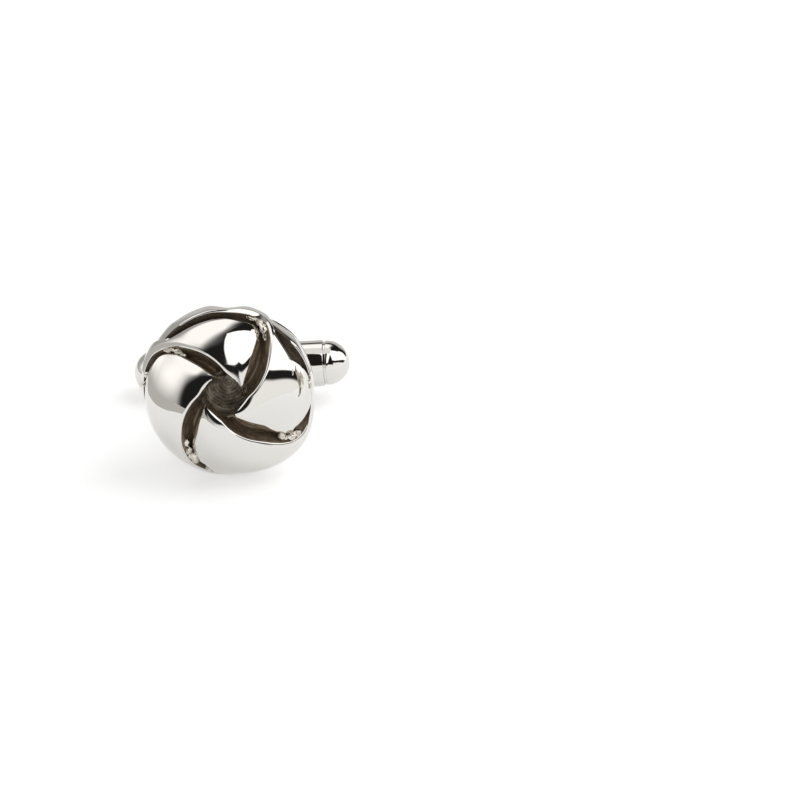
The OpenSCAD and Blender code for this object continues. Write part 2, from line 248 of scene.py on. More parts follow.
def add_node(tree, kind, settings=None, stops=(), **links):
    """Adds a shader node. settings holds its attributes and its sockets' values, stops the positions and
    hex colours of a colour ramp, and links the outputs that feed it."""
    node = tree.nodes.new("ShaderNode" + kind)
    for name, value in (settings or {}).items():
        if isinstance(name, int) or name in node.inputs:
            node.inputs[name].default_value = value
        else:
            setattr(node, name, value)
    for _ in stops[2:]:
        node.color_ramp.elements.new(0.5)
    for i, (position, hex_colour) in enumerate(stops):
        node.color_ramp.elements[i].position = position
        node.color_ramp.elements[i].color = srgb(hex_colour)
    feed(node, **links)
    return node


def new_material(name, metallic=0.0, roughness=0.5):
    """A material, its Principled shader and its node tree."""
    material = bpy.data.materials.new(name)
    material.use_nodes = True
    shader = material.node_tree.nodes["Principled BSDF"]
    shader.inputs["Metallic"].default_value = metallic
    shader.inputs["Roughness"].default_value = roughness
    return material, shader, material.node_tree


def vary_gloss(shader, pattern, low, high, at_low, at_high):
    """Lets the roughness follow a pattern, from its low value to its high one."""
    spread = add_node(shader.id_data, "MapRange", {
        "From Min": low, "From Max": high, "To Min": at_low, "To Max": at_high}, Value=pattern)
    feed(shader, Roughness=spread.outputs["Result"])


def emboss(shader, pattern, strength, depth):
    """Gives the surface a relief that follows a pattern."""
    bump = add_node(shader.id_data, "Bump", {"Strength": strength, "Distance": depth}, Height=pattern)
    feed(shader, Normal=bump.outputs["Normal"])


# Sizes of the patterns in the metals: smudges in the polish, grain of the drawn steel across and along,
# sandy grain of the well, spacing of the burr's arcs in it, and unevenness of the solder
SMUDGE = 3.846 * MM
DRAWN_W = 0.25 * MM
DRAWN_L = 3.333 * MM
SAND = 0.6667 * MM
BURR_STEP = 0.2856 * MM
SOLDER_GRAIN = 0.6667 * MM
# Streaks in the grooves, whose UV maps are in millimetres
STREAK_L = 0.794
STREAK_W = 0.0794
# Waves that a ring texture has in one unit of its scale
WAVES = 20 / math.tau


def polished_plate(name, colour, roughness):
    """Mirror-polished rhodium plate on brass: near-white and faintly warm, with smudges in its gloss."""
    material, shader, tree = new_material(name, metallic=1.0)
    shader.inputs["Base Color"].default_value = colour
    place = add_node(tree, "TexCoord").outputs["Object"]
    smudge = add_node(tree, "TexNoise", {"Scale": 1 / SMUDGE, "Detail": 3.0}, Vector=place)
    vary_gloss(shader, smudge.outputs["Fac"], 0.35, 0.7, roughness * 0.6, roughness * 1.6)
    return material


def groove_metal(name, roughness):
    """Cast metal in the grooves, where the wheel can't reach: dark with polishing compound left in it,
    streaked lengthwise, and with painted shade that makes it blacker outwards, where less light is mirrored
    in."""
    material, shader, tree = new_material(name, 0.65, roughness)
    along = add_node(tree, "UVMap").outputs["UV"]
    stretch = add_node(tree, "Mapping", {"Scale": (1 / STREAK_L, 1 / STREAK_W, 1.0)}, Vector=along)
    streak = add_node(tree, "TexNoise", {"Scale": 1.0, "Detail": 6.0, "Roughness": 0.6},
                      Vector=stretch.outputs["Vector"]).outputs["Fac"]
    stops = (0.34, "5A4E41"), (0.55, "7E6F5C"), (0.74, "A3927B")
    tint = add_node(tree, "ValToRGB", stops=stops, Fac=streak)
    # Painted shade: the troughs are painted blacker towards their outer ends, standing in for less light
    # from the polished walls
    outward = add_node(tree, "SeparateXYZ", Vector=along).outputs["X"]
    painted_shade_outward = add_node(
        tree, "MapRange",
        {"From Min": UV_ALONG * 0.5, "From Max": UV_ALONG * 0.65, "To Min": 0.0, "To Max": 0.65},
        Value=outward)
    shaded_tint = add_node(tree, "Mix", {"data_type": "RGBA", 7: srgb("15110D")},
                    i0=painted_shade_outward.outputs["Result"], i6=tint.outputs["Color"])
    feed(shader, Base_Color=shaded_tint.outputs[2])
    emboss(shader, streak, 0.2, 0.05 * MM)
    return material


def well_metal(name, roughness):
    """As-cast floor of the well: sandy and dark, with faint arcs left by the burr that cut it."""
    material, shader, tree = new_material(name, 0.8, roughness)
    place = add_node(tree, "TexCoord").outputs["Object"]
    plan = add_node(tree, "UVMap").outputs["UV"]
    sand = add_node(tree, "TexNoise", {"Scale": 1 / SAND, "Detail": 5.0, "Roughness": 0.65}, Vector=place)
    arcs = add_node(tree, "TexWave",
                    {"wave_type": "RINGS", "rings_direction": "Z", "Scale": 1 / WAVES / BURR_STEP,
                     "Distortion": 5.0, "Detail": 2.0, "Detail Scale": 0.5}, Vector=plan)
    mixed = add_node(tree, "Math", {"operation": "MULTIPLY_ADD", 1: 0.11},
                     i0=arcs.outputs["Fac"], i2=sand.outputs["Fac"]).outputs[0]
    stops = (0.38, "463F37"), (0.56, "7A7265"), (0.8, "BDB5A6")
    tint = add_node(tree, "ValToRGB", stops=stops, Fac=mixed)
    feed(shader, Base_Color=tint.outputs["Color"])
    emboss(shader, mixed, 0.5, 0.03 * MM)
    return material


def solder_metal(name):
    """Silver solder that ran into the corners and froze: bright and smooth on its lumps, dull between."""
    material, shader, tree = new_material(name, metallic=1.0)
    place = add_node(tree, "TexCoord").outputs["Object"]
    noisy = add_node(tree, "TexNoise", {"Scale": 1 / SOLDER_GRAIN, "Detail": 4.0}, Vector=place)
    lumps = noisy.outputs["Fac"]
    stops = (0.35, "A39D90"), (0.6, "E4E0D6")
    tint = add_node(tree, "ValToRGB", stops=stops, Fac=lumps)
    feed(shader, Base_Color=tint.outputs["Color"])
    vary_gloss(shader, lumps, 0.4, 0.65, 0.32, 0.12)
    emboss(shader, lumps, 0.25, 0.06 * MM)
    return material


def drawn_steel(name, colour, roughness):
    """Plated stampings that saw less of the wheel: satin, with a fine grain drawn out along the post."""
    material, shader, tree = new_material(name, metallic=1.0)
    shader.inputs["Base Color"].default_value = colour
    place = add_node(tree, "TexCoord").outputs["Object"]
    drawn = add_node(tree, "Mapping", {"Scale": (1 / DRAWN_W, 1 / DRAWN_L, 1 / DRAWN_W)}, Vector=place)
    grain = add_node(tree, "TexNoise", {"Scale": 1.0, "Detail": 3.0}, Vector=drawn.outputs["Vector"])
    vary_gloss(shader, grain.outputs["Fac"], 0.3, 0.7, roughness * 0.6, roughness * 1.5)
    return material


def spline(a, b, c, d, f):
    """The value at share f of the way from b to c, on a smooth curve through a, b, c and d."""
    return b + 0.5 * f * (c - a + f * (2 * a - 5 * b + 4 * c - d + f * (3 * (b - c) + d - a)))


def rise(x, start, end):
    """0 before start, 1 after end, and a straight climb between."""
    return max(0.0, min(1.0, (x - start) / (end - start)))


# Columns of numbers in a groove's row
RIM_PSI, RIM_THETA, BAND, EDGE_PSI, EDGE_THETA, DROP = range(6)
# Rows between which a groove's outer rim swells, and from which its lean passes into the next strap's
SWELL_ROWS = (10, 12, 15, 18)
LEAN_ROW = 13
# Share of a row over which a groove's way is measured
ROW_STEP = 0.05


class Knot:
    """The knot's surface: a dome cut by four grooves, in metres and degrees."""

    def __init__(self, sizes):
        self.sizes = sizes

    def dome_h(self, psi):
        """Height of the dome on the side of an angle from the axis."""
        return self.sizes.face_h if psi < 90 else self.sizes.back_h

    def swell(self, psi, theta):
        """How far the surface stands out from an even dome."""
        height = 0
        for about, about_reach, away, away_reach, rise_mm in SWELLS:
            x = ((theta - about + 180) % 360 - 180) / about_reach
            y = (psi - away) / away_reach
            if abs(x) < 1 and abs(y) < 1:
                height += rise_mm * MM * (math.cos(x * math.pi / 2) * math.cos(y * math.pi / 2)) ** 2
        r = self.sizes.knot_r * math.sin(math.radians(psi))
        return height - DISH_DEPTH * max(0.0, 1 - r / DISH_R) ** 2

    def point(self, psi, theta, depth):
        """The point at a depth below the knot's outline."""
        depth -= self.swell(psi, theta)
        p, t = math.radians(psi), math.radians(theta)
        across = (self.sizes.knot_r - depth) * math.sin(p)
        return Vector((across * math.cos(t), across * math.sin(t), (self.dome_h(psi) - depth) * math.cos(p)))

    def steps(self, psi):
        """Lengths on the dome of a degree of each angle."""
        p = math.radians(psi)
        return (math.radians(math.hypot(self.sizes.knot_r * math.cos(p), self.dome_h(psi) * math.sin(p))),
                math.radians(self.sizes.knot_r * math.sin(p)))

    def quarter(self, index):
        """Turn of a groove's or strap's quarter of the knot."""
        return math.degrees(self.sizes.knot_turn) + index * STRAP_TURN

    def groove(self, index, u, pinched=True):
        """The numbers of a groove at row u, with its angles turned to its place."""
        own, following = GROOVES[index % STRAPS], GROOVES[(index + 1) % STRAPS]
        rows = INNER_ROWS + (TURNED_ROWS if own["turned"] else OVER_ROWS)
        i = min(int(u), LAST_ROW - 1)
        picked = [rows[max(0, min(LAST_ROW, k))] for k in (i - 1, i, i + 1, i + 2)]
        row = [spline(*column, u - i) for column in zip(*picked)]
        swell = rise(u, *SWELL_ROWS[:2]) * (1 - rise(u, *SWELL_ROWS[2:]))
        lean = own["lean"]
        if own["turned"]:
            lean += (following["lean"] - lean) * rise(u, LEAN_ROW, LAST_ROW)
        row[RIM_PSI] += own["rim_out"] * swell
        row[EDGE_PSI] += own["edge_out"] * swell
        row[BAND] *= own["band"]
        fall = own["fall"] * rise(u, *FALL_ROWS[:2]) * (1 - rise(u, *FALL_ROWS[2:]))
        row[DROP] += fall
        row[EDGE_PSI] += FALL_SPREAD * fall * row[EDGE_PSI] ** 2
        if pinched:
            first, full, until, last, closing = own["pinch"]
            closed = rise(u, first, full) * (1 - rise(u, until, last))
            row[EDGE_PSI] += closing * closed
            if closing > 0:
                row[DROP] *= 1 - PINCH_LIFT * closed
        row[RIM_THETA] += self.quarter(index) + lean
        row[EDGE_THETA] += self.quarter(index) + lean
        return row

    def beside(self, index, u, distance):
        """The angles at a distance inside the rim, towards its groove, at row u."""
        here = self.groove(index, u)
        ahead = self.groove(index, min(u + ROW_STEP, LAST_ROW))
        behind = self.groove(index, max(u - ROW_STEP, 0))
        psi_step, theta_step = self.steps(here[RIM_PSI])
        way = ((ahead[RIM_PSI] - behind[RIM_PSI]) * psi_step,
               (ahead[RIM_THETA] - behind[RIM_THETA]) * theta_step)
        stride = math.hypot(*way)
        return (here[RIM_PSI] - way[1] / stride * distance / psi_step,
                here[RIM_THETA] + way[0] / stride * distance / theta_step)

    def outer_side(self, index, t):
        """The side of a strap away from its rim, at share t of its length: its angles and drop."""
        before = GROOVES[(index - 1) % STRAPS]
        own_turned = GROOVES[index]["turned"]
        u = t * LAST_ROW
        closing = CLOSE_ROW if before["turned"] else (OVER_CLOSE_ROW if own_turned else LAST_ROW)
        if u <= closing:
            row = self.groove(index - 1, TIP_ROW + (LAST_ROW - TIP_ROW) * u / closing)
            return row[EDGE_PSI], row[EDGE_THETA], row[DROP] * MM
        end = SHOULDER_END if own_turned else POINT_END
        turn = self.quarter(index) + GROOVES[index]["lean"]
        if before["turned"]:
            stations = SHOULDER + ((LAST_ROW, SHOULDER[-1][1], end),)
        else:
            last = self.groove(index - 1, LAST_ROW)
            stations = ((closing, last[EDGE_PSI], last[EDGE_THETA] - turn), (LAST_ROW, last[EDGE_PSI], end))
        for a, b in zip(stations, stations[1:]):
            if u <= b[0] + 1e-9:
                f = (u - a[0]) / (b[0] - a[0])
                return a[1] + (b[1] - a[1]) * f, a[2] + (b[2] - a[2]) * f + turn, SHOULDER_DROP * MM
        raise ValueError(f"strap {index} has no outer side at {t}")


SHARP_ANGLE = math.radians(35)


def new_piece(name, bm, body, slot_name, *materials):
    """Lays the bmesh down as a piece at the origin that rides on a body."""
    bmesh.ops.transform(bm, matrix=LYING, verts=bm.verts)
    mesh = bpy.data.meshes.new(name)
    bm.to_mesh(mesh)
    bm.free()
    for material in materials:
        mesh.materials.append(material)
    mesh.polygons.foreach_set("use_smooth", [True] * len(mesh.polygons))
    mesh.set_sharp_from_angle(angle=SHARP_ANGLE)
    mesh.update()
    piece = bpy.data.objects.new(name, mesh)
    bpy.context.scene.collection.objects.link(piece)
    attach(piece, body)
    return piece


def slab(bm, columns, rows):
    """A grid over 0..1 each way with a second sheet at z = -1 and walls between: a closed slab."""
    bmesh.ops.create_grid(bm, x_segments=columns, y_segments=rows, size=0.5)
    bmesh.ops.translate(bm, verts=bm.verts, vec=(0.5, 0.5, 0))
    out = bmesh.ops.extrude_face_region(bm, geom=bm.faces[:])
    lower = [v for v in out["geom"] if isinstance(v, bmesh.types.BMVert)]
    bmesh.ops.translate(bm, verts=lower, vec=(0, 0, -1))
    bmesh.ops.recalc_face_normals(bm, faces=bm.faces)


def join(bm, other):
    """Adds another bmesh's shape to bm and frees it."""
    mesh = bpy.data.meshes.new("joined")
    other.to_mesh(mesh)
    other.free()
    bm.from_mesh(mesh)
    bpy.data.meshes.remove(mesh)


def clear_of_well(point, sizes):
    """Moves a point that hangs over the well out to the well's wall."""
    r = math.hypot(point.x, point.y)
    if r < sizes.well_r:
        point.x *= sizes.well_r / r
        point.y *= sizes.well_r / r
    return point


ALONG_N = 150
TIP_START = 0.02
# The rounding of a strap's outer side: radius, the most of the strap's width that it takes, and the least
# width that it is worked out from
ROUND_R = 0.16 * MM
ROUND_SHARE = 0.3
LEAST_WIDTH = 0.01 * MM
INNER_DEPTH = 2.1 * MM
# Shares across a strap: of the rounding at its outer side, of its crown, and of the rolled band
FAR_STEPS = (0.0, 0.10, 0.25, 0.45, 0.70, 1.0)
MIDDLE_N = 34
BAND_STEPS = (0.06, 0.16, 0.5, 0.84, 0.95, 1.0)
BAND_SLOPE = 0.7
# The lip where the band turns down into the groove: share of the band where it starts, and its depth
LIP_START = 0.8
LIP_DEPTH = 0.3
# How far a strap's end dips to pass under the next strap, and from which row
TUCK_DEPTH = 0.4 * MM
TUCK_ROW = 16.5


def strap_bmesh(knot, index):
    """One folded strap: a crowned sheet from its outer side to its rim, and a rolled band inside the rim."""
    far_n = len(FAR_STEPS) - 1
    crown_share, crown_power = CROWNS[index]
    crown_end = far_n + MIDDLE_N
    across_n = crown_end + len(BAND_STEPS)
    bm = bmesh.new()
    slab(bm, ALONG_N, across_n)
    stations = {}
    for vert in bm.verts:
        i, j = round(vert.co.x * ALONG_N), round(vert.co.y * across_n)
        if i not in stations:
            t = TIP_START + (1 - TIP_START) * i / ALONG_N
            u = t * LAST_ROW
            row = knot.groove(index, u)
            far = knot.outer_side(index, t)
            near = row[RIM_PSI], row[RIM_THETA]
            width = (knot.point(*near, 0) - knot.point(far[0], far[1], 0)).length
            tuck = TUCK_DEPTH * rise(u, TUCK_ROW, LAST_ROW) if GROOVES[index]["turned"] else 0
            stations[i] = u, near, far, row[BAND] * MM, width, tuck
        u, near, far, band, width, tuck = stations[i]
        if j <= crown_end:
            edge = min(ROUND_R / max(width, LEAST_WIDTH), ROUND_SHARE)
            step = FAR_STEPS[min(j, far_n)]
            v = edge * step if j <= far_n else edge + (1 - edge) * (j - far_n) / MIDDLE_N
            depth = far[2] * max(0.0, 1 - v / crown_share) ** crown_power
            depth += edge * width * (1 - math.sqrt(max(0.0, 1 - (1 - step) ** 2)))
            psi, theta = far[0] + (near[0] - far[0]) * v, far[1] + (near[1] - far[1]) * v
        else:
            b = BAND_STEPS[j - crown_end - 1]
            psi, theta = knot.beside(index, u, band * b)
            depth = band * BAND_SLOPE * b
            depth += band * LIP_DEPTH * (1 - math.sqrt(max(0.0, 1 - rise(b, LIP_START, 1.0) ** 2)))
        if vert.co.z < -0.5:
            depth = max(INNER_DEPTH, depth)
        vert.co = clear_of_well(knot.point(psi, theta, depth + tuck), knot.sizes)
    return bm


GROOVE_ALONG_N = 130
# Cells across a trough: a skirt tucked under each strap, and the hollow between them
HOLLOW_N = 14
GROOVE_ACROSS_N = HOLLOW_N + 2
GROOVE_START = 0.6
GROOVE_TUCK = 0.12 * MM
NARROW_GROOVE = 0.2 * MM
# How far a trough's sides start below the straps' edges, how deep its hollow is at least, and how thick
# the metal under it is
GROOVE_SINK = 0.04 * MM
LEAST_HOLLOW = 0.3 * MM
TROUGH_WALL = 0.8 * MM
# The troughs' UV map: its length, its width, and how far apart it sets the four
UV_ALONG = 18.0
UV_ACROSS = 1.2
UV_APART = 7.3
# The grooves grow shallower between these rows, to this share of their depth
SHALLOW_ROWS = (8, 13)
SHALLOW = 0.62


def groove_bmesh(knot, index):
    """The concave trough between a rim and the next strap's edge, tucked under both."""
    bm = bmesh.new()
    slab(bm, GROOVE_ALONG_N, GROOVE_ACROSS_N)
    uv = bm.loops.layers.uv.new("along_groove")
    for face in bm.faces:
        for loop in face.loops:
            loop[uv].uv = (loop.vert.co.x * UV_ALONG, loop.vert.co.y * UV_ACROSS + index * UV_APART)
    for vert in bm.verts:
        u = GROOVE_START + (LAST_ROW - GROOVE_START) * vert.co.x
        w = vert.co.y
        row = knot.groove(index, u)
        near_psi, near_theta = knot.beside(index, u, row[BAND] * MM)
        far_psi, far_theta = row[EDGE_PSI], row[EDGE_THETA]
        width = (knot.point(near_psi, near_theta, 0) - knot.point(far_psi, far_theta, 0)).length
        tuck = GROOVE_TUCK / max(width, NARROW_GROOVE)
        turn = math.pi * max(0, min(HOLLOW_N, round(w * GROOVE_ACROSS_N) - 1)) / HOLLOW_N
        s = -tuck if w < 1e-6 else 1 + tuck if w > 1 - 1e-6 else (1 - math.cos(turn)) / 2
        hollow = math.sin(turn)
        top = row[BAND] * BAND_SLOPE * MM * (1 - s) + row[DROP] * MM * s + GROOVE_SINK
        floor_depth = knot.sizes.groove_depth * (1 - (1 - SHALLOW) * rise(u, *SHALLOW_ROWS))
        depth = top + max(LEAST_HOLLOW, floor_depth - top) * hollow
        if vert.co.z < -0.5:
            depth = knot.sizes.groove_depth + TROUGH_WALL
        psi, theta = near_psi + (far_psi - near_psi) * s, near_theta + (far_theta - near_theta) * s
        vert.co = clear_of_well(knot.point(psi, theta, depth), knot.sizes)
    return bm


class CUFFLINK_OT_straps(bpy.types.Operator):
    """Build the four polished straps of the knot"""

    bl_idname = "cufflink.straps"
    bl_label = "Straps"

    def execute(self, context):
        knot = Knot(context.scene.cufflink_sizes)
        finish = context.scene.cufflink_finish
        bm = bmesh.new()
        for index in range(STRAPS):
            join(bm, strap_bmesh(knot, index))
        plate = polished_plate("polished_rhodium_plate", finish.plate_colour, finish.plate_roughness)
        piece = new_piece("knot_straps", bm, "head", "knot_plate", plate)
        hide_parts("knot")
        return {"FINISHED"}


class CUFFLINK_OT_grooves(bpy.types.Operator):
    """Build the dark troughs between the straps"""

    bl_idname = "cufflink.grooves"
    bl_label = "Grooves"

    def execute(self, context):
        knot = Knot(context.scene.cufflink_sizes)
        finish = context.scene.cufflink_finish
        bm = bmesh.new()
        for index in range(STRAPS):
            join(bm, groove_bmesh(knot, index))
        metal = groove_metal("oxidised_cast_brass_painted_shade", finish.groove_roughness)
        new_piece("knot_grooves", bm, "head", "knot_plate", metal)
        return {"FINISHED"}


def spun(outline, steps, axis="Z", closed=False):
    """A solid of revolution from (radius, height) points, about Z or X."""
    bm = bmesh.new()
    verts = [bm.verts.new((r, 0, h)) for r, h in outline]
    pairs = list(zip(verts, verts[1:])) + ([(verts[-1], verts[0])] if closed else [])
    edges = [bm.edges.new(pair) for pair in pairs]
    bmesh.ops.spin(bm, geom=verts + edges, cent=(0, 0, 0), axis=(0, 0, 1), angle=math.tau,
                   steps=steps, use_merge=True)
    bmesh.ops.remove_doubles(bm, verts=bm.verts, dist=1e-7)
    bmesh.ops.recalc_face_normals(bm, faces=bm.faces)
    if axis == "X":
        bmesh.ops.rotate(bm, verts=bm.verts, matrix=Matrix.Rotation(math.pi / 2, 3, "Y"))
    return bm


def arc(cx, cy, r, start, end, steps):
    """Points of an arc, with its angles in degrees."""
    angles = [math.radians(start + (end - start) * i / steps) for i in range(steps + 1)]
    return [(cx + r * math.cos(a), cy + r * math.sin(a)) for a in angles]


# Facets round a turned piece, and along the core's dome
ROUND_STEPS = 96
DOME_STEPS = 18
# How far the core stays below the grooves' floors
CORE_GAP = 0.25 * MM
BACK_PAD_R = 6.1 * MM
BACK_PAD_Z = -3.0 * MM
BACK_CHAMFER = 0.4 * MM
SPIGOT_R = 1.2 * MM
SPIGOT_L = 1.2 * MM
SPIGOT_GAP = 0.05 * MM
# How far the core stays behind the well's own skin
BORE_GAP = 0.15 * MM


class CUFFLINK_OT_core(bpy.types.Operator):
    """Build the knot's core with its well, and the flat pad at its back"""

    bl_idname = "cufflink.core"
    bl_label = "Core and well"

    def execute(self, context):
        sizes = context.scene.cufflink_sizes
        finish = context.scene.cufflink_finish
        core_r = sizes.knot_r - sizes.groove_depth - CORE_GAP
        face = sizes.face_h - sizes.groove_depth - CORE_GAP
        floor_z = sizes.face_h - sizes.well_depth
        bore_r = sizes.well_r + BORE_GAP
        rim_angle = math.asin(bore_r / core_r)
        hole_r = SPIGOT_R + SPIGOT_GAP
        outline = [(0, floor_z - BORE_GAP), (bore_r, floor_z - BORE_GAP)]
        for i in range(DOME_STEPS + 1):
            a = rim_angle + (math.pi * 0.5 - rim_angle) * i / DOME_STEPS
            outline.append((core_r * math.sin(a), face * math.cos(a)))
        outline += [(BACK_PAD_R, 0), (BACK_PAD_R, BACK_PAD_Z + BACK_CHAMFER),
                    (BACK_PAD_R - BACK_CHAMFER, BACK_PAD_Z), (hole_r, BACK_PAD_Z),
                    (hole_r, BACK_PAD_Z + SPIGOT_L), (0, BACK_PAD_Z + SPIGOT_L)]
        metal = drawn_steel("satin_plated_back", finish.back_colour, roughness=0.28)
        new_piece("knot_core", spun(outline, ROUND_STEPS), "head", "knot_plate", metal)
        return {"FINISHED"}


# The well's skin: how far it stands clear of the sizes given, its thickness, the radius at its corner, how
# far it stays below the grooves' floors, the size of its cells, and its relief: depth, size, and the
# noise's roughness, the growth of its layers and their number
WELL_EASE = 0.02 * MM
WELL_WALL = 0.3 * MM
WELL_CORNER = 0.5 * MM
LIP_GAP = 0.05 * MM
WELL_CELL = 0.2 * MM
RELIEF = 0.03 * MM
RELIEF_SIZE = 5 / 7 * MM
RELIEF_NOISE = (0.9, 2.0, 4)
# Middle of the arcs that the burr left
ARCS_X = 0.3 * MM
ARCS_Y = 0.9 * MM


class CUFFLINK_OT_well(bpy.types.Operator):
    """Build the rough floor and wall of the well"""

    bl_idname = "cufflink.well"
    bl_label = "Well"

    def execute(self, context):
        sizes = context.scene.cufflink_sizes
        floor_z = sizes.face_h - sizes.well_depth
        top_z = floor_z + WELL_EASE
        lip_z = sizes.face_h - sizes.groove_depth - LIP_GAP
        r = sizes.well_r + WELL_EASE
        outline = [(0, top_z), (r * 0.35, top_z)]
        outline += arc(r - WELL_CORNER, floor_z + WELL_CORNER, WELL_CORNER, -90, 0, 8)
        outline += [(r, lip_z), (r + WELL_WALL, lip_z), (r + WELL_WALL, floor_z - WELL_WALL),
                    (0, floor_z - WELL_WALL)]
        bm = spun(outline, ROUND_STEPS)
        wide = [e for e in bm.edges if e.calc_length() > WELL_CELL]
        bmesh.ops.subdivide_edges(bm, edges=wide, cuts=2, use_grid_fill=True)
        uv = bm.loops.layers.uv.new("well_plan")
        for face in bm.faces:
            for loop in face.loops:
                loop[uv].uv = (loop.vert.co.x - ARCS_X, loop.vert.co.y - ARCS_Y)
        for vert in bm.verts:
            if vert.co.z > floor_z and math.hypot(vert.co.x, vert.co.y) < r - WELL_EASE / 2:
                vert.co.z += RELIEF * noise.fractal(vert.co / RELIEF_SIZE, *RELIEF_NOISE)
        metal = well_metal("as_cast_brass", roughness=0.6)
        new_piece("knot_well", bm, "head", "knot_plate", metal)
        return {"FINISHED"}


# Lumps of solder: groove, row, share of the way across it, depth of the middle, and half sizes along
# the groove, across it and in depth, in millimetres. Shares over 1 lie on the next strap
SOLDER = (
    (3, 9.2, 0.15, 0.55, 0.7, 0.22, 0.34),
    (3, 8.2, 0.45, 0.85, 0.6, 0.28, 0.36),
    (3, 7.6, 0.75, 1.1, 0.4, 0.24, 0.3),
    (3, 12.8, 0.45, 0.45, 0.34, 0.3, 0.34),
    (3, 13.5, 0.5, 0.4, 0.34, 0.3, 0.34),
    (2, 9.3, 0.8, 0.45, 0.6, 0.36, 0.4),
    (2, 9.8, 0.62, 0.34, 0.6, 0.34, 0.34),
    (2, 10.4, 0.45, 0.4, 0.6, 0.26, 0.26),
    (2, 11.2, 0.25, 0.5, 0.55, 0.16, 0.22),
    (1, 8.7, 0.7, 0.7, 0.45, 0.3, 0.36),
    (1, 9.2, 0.2, 0.75, 0.4, 0.3, 0.34),
    (1, 9.6, 0.6, 0.5, 0.5, 0.42, 0.42),
    (1, 10.2, 0.35, 0.45, 0.45, 0.42, 0.4),
    (1, 14.45, -0.05, 0.12, 0.26, 0.14, 0.24),
    (1, 14.1, 0.15, 0.12, 0.26, 0.12, 0.24),
    (0, 8.2, 0.15, 0.75, 0.38, 0.25, 0.32),
    (0, 8.9, 0.3, 0.6, 0.5, 0.34, 0.4),
    (0, 9.5, 0.55, 0.55, 0.5, 0.38, 0.4),
    (0, 10.1, 0.6, 0.5, 0.45, 0.3, 0.35),
    (0, 11.7, 0.5, 0.4, 0.38, 0.26, 0.3),
)
# Seams where solder froze as a bead: groove, then stations of row, share of the way across, depth of the
# bead's middle and its radius, in millimetres
SEAMS = (
    (1, ((15.35, 1.42, 0.06, 0.05), (15.15, 1.42, 0.02, 0.09), (14.95, 1.45, 0.05, 0.07))),
    (1, ((15.45, 1.1, 0.05, 0.06), (15.15, 1.14, 0, 0.11), (14.65, 1.05, -0.04, 0.18),
         (14.25, 1.05, -0.02, 0.18), (13.9, 1.05, 0.02, 0.15), (13.6, 1.1, 0.04, 0.1),
         (13.35, 1.2, 0.06, 0.06))),
    (1, ((14.9, 0.85, 0.1, 0.1), (14.5, 0.8, 0.08, 0.12), (14.1, 0.85, 0.1, 0.1))),
    (1, ((14.9, -0.15, 0.05, 0.07), (14.45, -0.2, 0, 0.13), (14.1, 0.05, 0, 0.13),
         (13.7, 0.25, 0.06, 0.08))),
    (2, ((9.3, 1, 0.3, 0.2), (8.75, 1.35, 0.2, 0.13), (8.5, 1.15, 0.35, 0.11),
         (8.25, 0.9, 0.6, 0.09))),
    (2, ((9.3, 0.7, 0.4, 0.2), (9.05, 0.65, 0.45, 0.12), (8.85, 0.4, 0.6, 0.1),
         (8.7, 0.15, 0.75, 0.09))),
    (2, ((9.2, 0.9, 0.4, 0.18), (8.9, 1, 0.45, 0.11), (8.55, 0.65, 0.65, 0.1),
         (8.45, 0.5, 0.8, 0.08))),
)
SEAM_STEPS = 14
# How uneven a lump is, the waves over it, and how far apart the lumps' patterns are taken
LUMP_UNEVEN = 0.25
LUMP_WAVES = 1.7
LUMPS_APART = 3.1
SOLDER_VOXEL = 0.035 * MM


def fused(bm, voxel):
    """The bmesh's overlapping lumps as one skin."""
    mesh = bpy.data.meshes.new("lumps")
    bm.to_mesh(mesh)
    bm.free()
    holder = bpy.data.objects.new("lumps", mesh)
    bpy.context.scene.collection.objects.link(holder)
    remesh = holder.modifiers.new("remesh", "REMESH")
    remesh.mode = "VOXEL"
    remesh.voxel_size = voxel
    skin = bpy.data.meshes.new_from_object(holder.evaluated_get(bpy.context.evaluated_depsgraph_get()))
    out = bmesh.new()
    out.from_mesh(skin)
    bpy.data.objects.remove(holder)
    bpy.data.meshes.remove(mesh)
    bpy.data.meshes.remove(skin)
    bmesh.ops.smooth_vert(out, verts=out.verts, factor=0.5,
                          use_axis_x=True, use_axis_y=True, use_axis_z=True)
    return out


